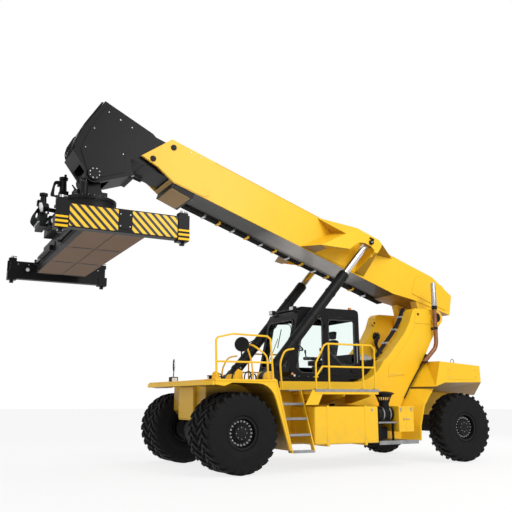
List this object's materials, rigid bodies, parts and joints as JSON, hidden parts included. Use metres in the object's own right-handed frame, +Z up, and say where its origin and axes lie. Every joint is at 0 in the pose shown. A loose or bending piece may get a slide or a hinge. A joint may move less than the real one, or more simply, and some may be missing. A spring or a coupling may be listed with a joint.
{
  "type": "reach_stacker",
  "caption": "Yellow reach stacker with a raised telescopic boom, lift cylinders, a container spreader, side platforms with ladders and a glazed cab",
  "frame": {"origin": "Middle of the machine's bounding box at ground level, under the tyres; the drive axle is 1.633 m in front of it along -X.", "axes": "+X points to the rear (the machine drives and reaches toward -X), +Y to the driver's right, +Z up."},
  "size_m": [11.4746, 6.073, 8.0709],
  "materials": {
    "yellow_paint": "semi-gloss yellow machine enamel",
    "black_paint": "semi-gloss black enamel",
    "grey_paint": "grey anti-slip paint on steel plate",
    "tyre_rubber": "matt black rubber with deep lugs",
    "bright_rod": "ground hard-chrome rod",
    "heated_pipe": "steel pipe browned by heat under a silver stack",
    "seat_trim": "black woven seat cover",
    "tinted_glass": "clear glass with a pale green tint"
  },
  "bodies": {
    "chassis": {"main_frame": "yellow_paint", "side_frame_left": "yellow_paint", "side_frame_right": "yellow_paint", "drive_axle": "black_paint", "steer_axle": "black_paint", "fender_left": "yellow_paint", "fender_right": "yellow_paint", "front_tray": "yellow_paint", "side_tank_left": "yellow_paint", "side_tank_right": "yellow_paint", "platform_left": "grey_paint", "platform_right": "grey_paint", "front_rail": "yellow_paint", "side_rail_left": "yellow_paint", "side_rail_right": "yellow_paint", "cab_floor": "black_paint", "cab_body": "black_paint", "cab_roof": "black_paint", "glass_front": "tinted_glass", "glass_side_left": "tinted_glass", "glass_side_right": "tinted_glass", "glass_rear": "tinted_glass", "glass_rear_right": "tinted_glass", "driver_seat": "seat_trim", "steering_console": "black_paint", "engine_block": "black_paint", "engine_hood": "black_paint", "counterweight": "yellow_paint", "service_rack": "grey_paint", "air_cleaner": "black_paint", "exhaust_stack": "heated_pipe"},
    "door": {"cab_door": "black_paint", "glass_door": "tinted_glass"},
    "boom": {"outer_boom": "yellow_paint"},
    "inner_boom": {"inner_boom": "black_paint"},
    "lift_barrel_left": {"lift_barrel_left": "black_paint"},
    "lift_barrel_right": {"lift_barrel_right": "black_paint"},
    "lift_rod_left": {"lift_rod_left": "bright_rod"},
    "lift_rod_right": {"lift_rod_right": "bright_rod"},
    "head": {"head_yoke": "black_paint"},
    "rotator": {"rotator": "black_paint"},
    "spreader": {"spreader_frame": "black_paint"},
    "spreader_end_left": {"spreader_end_left": "black_paint"},
    "spreader_end_right": {"spreader_end_right": "black_paint"},
    "knuckle_left": {"knuckle_left": "black_paint"},
    "knuckle_right": {"knuckle_right": "black_paint"},
    "wheel_rear_left": {"rim_rear_left": "black_paint", "tyre_rear_left": "tyre_rubber"},
    "wheel_rear_right": {"rim_rear_right": "black_paint", "tyre_rear_right": "tyre_rubber"},
    "wheel_front_left": {"rim_front_left": "black_paint", "tyre_front_left_inner": "tyre_rubber", "tyre_front_left_outer": "tyre_rubber"},
    "wheel_front_right": {"rim_front_right": "black_paint", "tyre_front_right_inner": "tyre_rubber", "tyre_front_right_outer": "tyre_rubber"}
  },
  "joints": [
    {"name": "boom_lift", "type": "hinge", "parent": "chassis", "child": "boom", "pos_m": [4.56728, 0, 3.6], "axis": [0, -1, 0], "range_deg": [-41, 19]},
    {"name": "boom_extend", "type": "slide", "parent": "boom", "child": "inner_boom", "axis": [-0.9455, 0, 0.3256], "range_m": [0, 6]},
    {"name": "head_level", "type": "hinge", "parent": "inner_boom", "child": "head", "pos_m": [-4.49778, 0, 6.33003], "axis": [0, -1, 0], "range_deg": [-19, 41]},
    {"name": "spreader_rotate", "type": "hinge", "parent": "head", "child": "rotator", "pos_m": [-4.49778, 0, 5.72], "axis": [0, 0, 1], "range_deg": [-185, 95]},
    {"name": "side_shift", "type": "slide", "parent": "rotator", "child": "spreader", "axis": [0, 1, 0], "range_m": [-0.8, 0.8]},
    {"name": "spreader_extend_left", "type": "slide", "parent": "spreader", "child": "spreader_end_left", "axis": [0, -1, 0], "range_m": [0, 3.05]},
    {"name": "spreader_extend_right", "type": "slide", "parent": "spreader", "child": "spreader_end_right", "axis": [0, 1, 0], "range_m": [0, 3.05]},
    {"name": "lift_barrel_left_swing", "type": "hinge", "parent": "chassis", "child": "lift_barrel_left", "pos_m": [-0.54272, -1, 1.96], "axis": [0, -1, 0], "range_deg": [-4, 2]},
    {"name": "lift_rod_left_stroke", "type": "slide", "parent": "lift_barrel_left", "child": "lift_rod_left", "axis": [0.6506, 0, 0.7594], "range_m": [-0.93, 1.96]},
    {"name": "lift_barrel_right_swing", "type": "hinge", "parent": "chassis", "child": "lift_barrel_right", "pos_m": [-0.54272, 1, 1.96], "axis": [0, -1, 0], "range_deg": [-4, 2]},
    {"name": "lift_rod_right_stroke", "type": "slide", "parent": "lift_barrel_right", "child": "lift_rod_right", "axis": [0.6506, 0, 0.7594], "range_m": [-0.93, 1.96]},
    {"name": "steer_left", "type": "hinge", "parent": "chassis", "child": "knuckle_left", "pos_m": [4.56728, -1.14, 0.825], "axis": [0, 0, 1], "range_deg": [-62, 62]},
    {"name": "steer_right", "type": "hinge", "parent": "chassis", "child": "knuckle_right", "pos_m": [4.56728, 1.14, 0.825], "axis": [0, 0, 1], "range_deg": [-62, 62]},
    {"name": "wheel_rear_left_spin", "type": "hinge", "parent": "knuckle_left", "child": "wheel_rear_left", "pos_m": [4.56728, -1.57, 0.825], "axis": [0, 1, 0], "continuous": true},
    {"name": "wheel_front_left_spin", "type": "hinge", "parent": "chassis", "child": "wheel_front_left", "pos_m": [-1.63272, -1.545, 0.825], "axis": [0, 1, 0], "continuous": true},
    {"name": "wheel_rear_right_spin", "type": "hinge", "parent": "knuckle_right", "child": "wheel_rear_right", "pos_m": [4.56728, 1.57, 0.825], "axis": [0, 1, 0], "continuous": true},
    {"name": "wheel_front_right_spin", "type": "hinge", "parent": "chassis", "child": "wheel_front_right", "pos_m": [-1.63272, 1.545, 0.825], "axis": [0, 1, 0], "continuous": true},
    {"name": "cab_door_swing", "type": "hinge", "parent": "chassis", "child": "door", "pos_m": [1.22528, -0.76, 2.75], "axis": [0, 0, -1], "range_deg": [0, 80]}
  ],
  "couplings": [
    {"joint": "head_level", "follows": "boom_lift", "ratio": -1},
    {"joint": "spreader_extend_right", "follows": "spreader_extend_left", "ratio": 1},
    {"joint": "lift_barrel_left_swing", "follows": "boom_lift", "ratio": 0.078},
    {"joint": "lift_rod_left_stroke", "follows": "boom_lift", "m_per_rad": -2.7},
    {"joint": "lift_barrel_right_swing", "follows": "boom_lift", "ratio": 0.078},
    {"joint": "lift_rod_right_stroke", "follows": "boom_lift", "m_per_rad": -2.7},
    {"joint": "steer_right", "follows": "steer_left", "ratio": 1}
  ]
}
